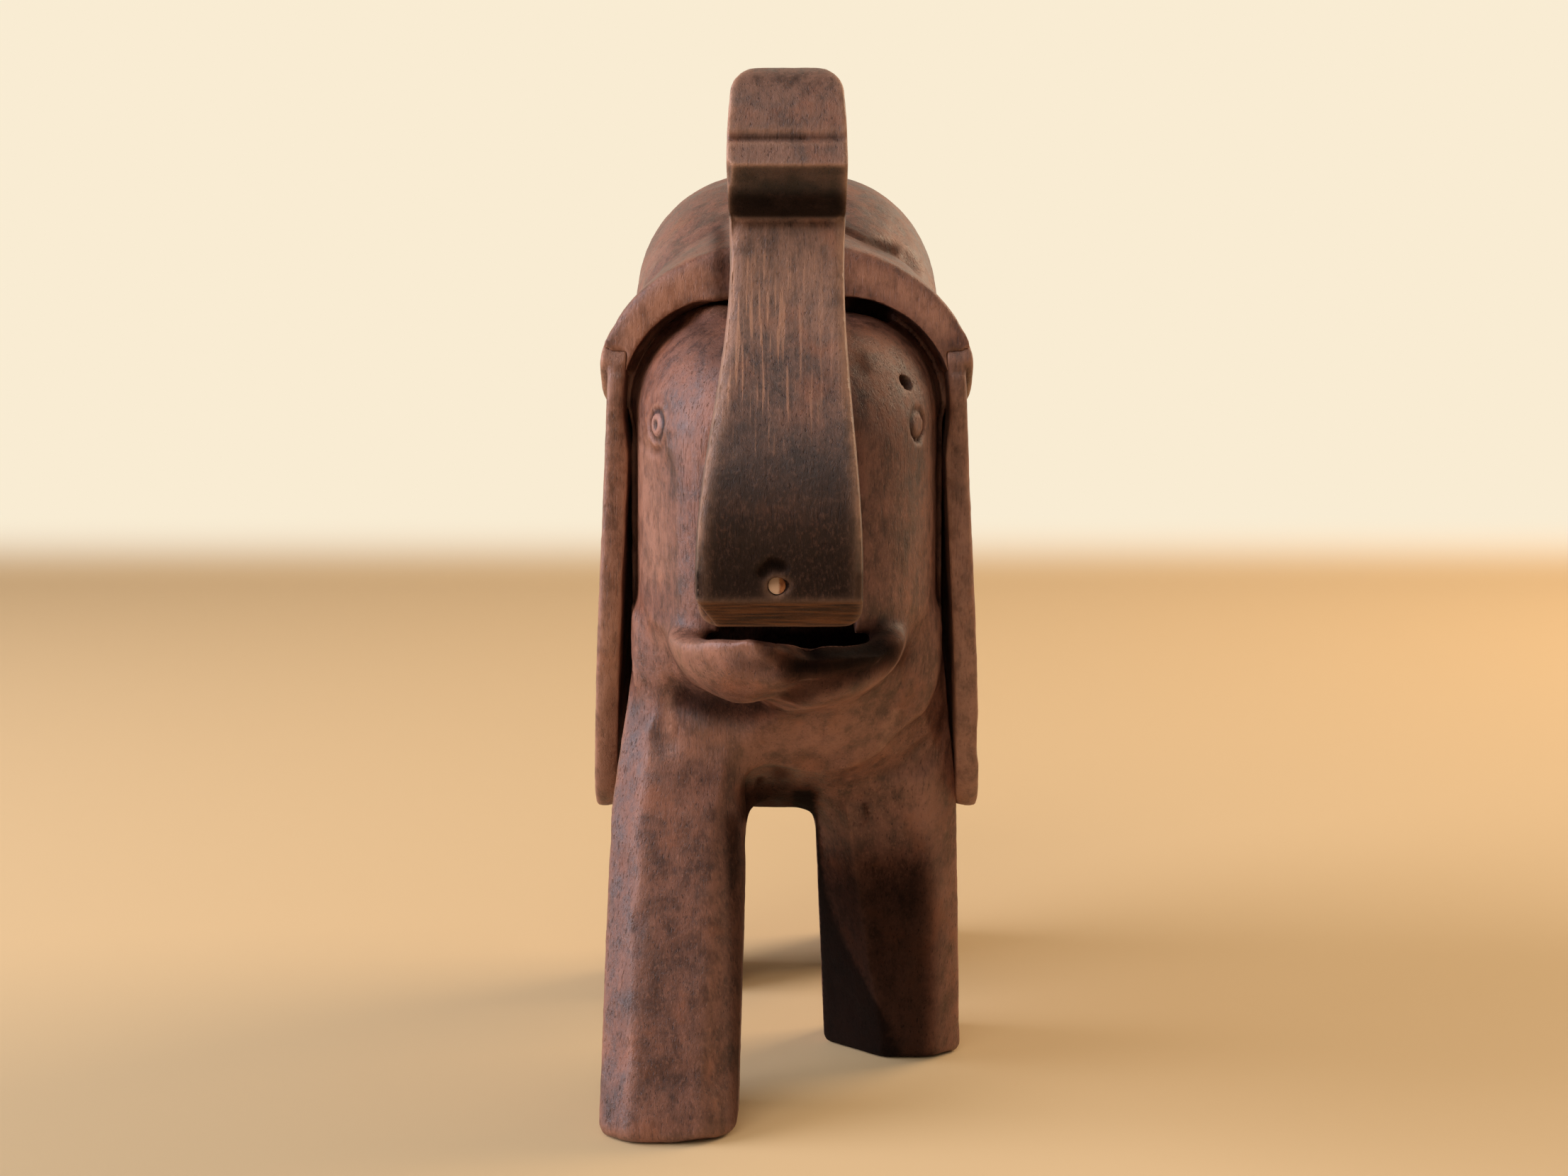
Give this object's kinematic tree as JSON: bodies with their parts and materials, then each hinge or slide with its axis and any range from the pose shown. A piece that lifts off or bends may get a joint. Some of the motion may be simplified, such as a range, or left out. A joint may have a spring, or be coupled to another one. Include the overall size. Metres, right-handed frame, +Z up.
{
  "type": "nutcracker",
  "caption": "Carved wooden elephant nutcracker: its raised trunk is a hinged lever that presses a nut into the hollow of the lower jaw.",
  "frame": {"origin": "on the ground, under the middle of the whole figure", "axes": "+Z up, -Y the way the elephant faces, +X its left"},
  "size_m": [0.059, 0.1587, 0.149],
  "materials": {
    "body_wood": "dark stain, rubbed and worn",
    "trunk_wood": "dark stain, rubbed and worn",
    "ear_wood": "dark stain, rubbed and worn",
    "tail_wood": "dark stain, rubbed and worn",
    "plug_wood": "bare end grain",
    "peg_wood": "bare, glued in",
    "pin_iron": "blackened"
  },
  "bodies": {
    "figure": {"carved_body": "body_wood", "pivot_pin": "pin_iron", "left_ear": "ear_wood", "right_ear": "ear_wood", "left_ear_pegs": "peg_wood", "right_ear_pegs": "peg_wood", "tail": "tail_wood"},
    "lever": {"trunk_lever": "trunk_wood", "trunk_plug": "plug_wood"}
  },
  "joints": [
    {"name": "trunk_hinge", "type": "hinge", "parent": "figure", "child": "lever", "pos_m": [0, -0.041, 0.108], "axis": [-1, 0, 0], "range_deg": [0, 55]}
  ]
}
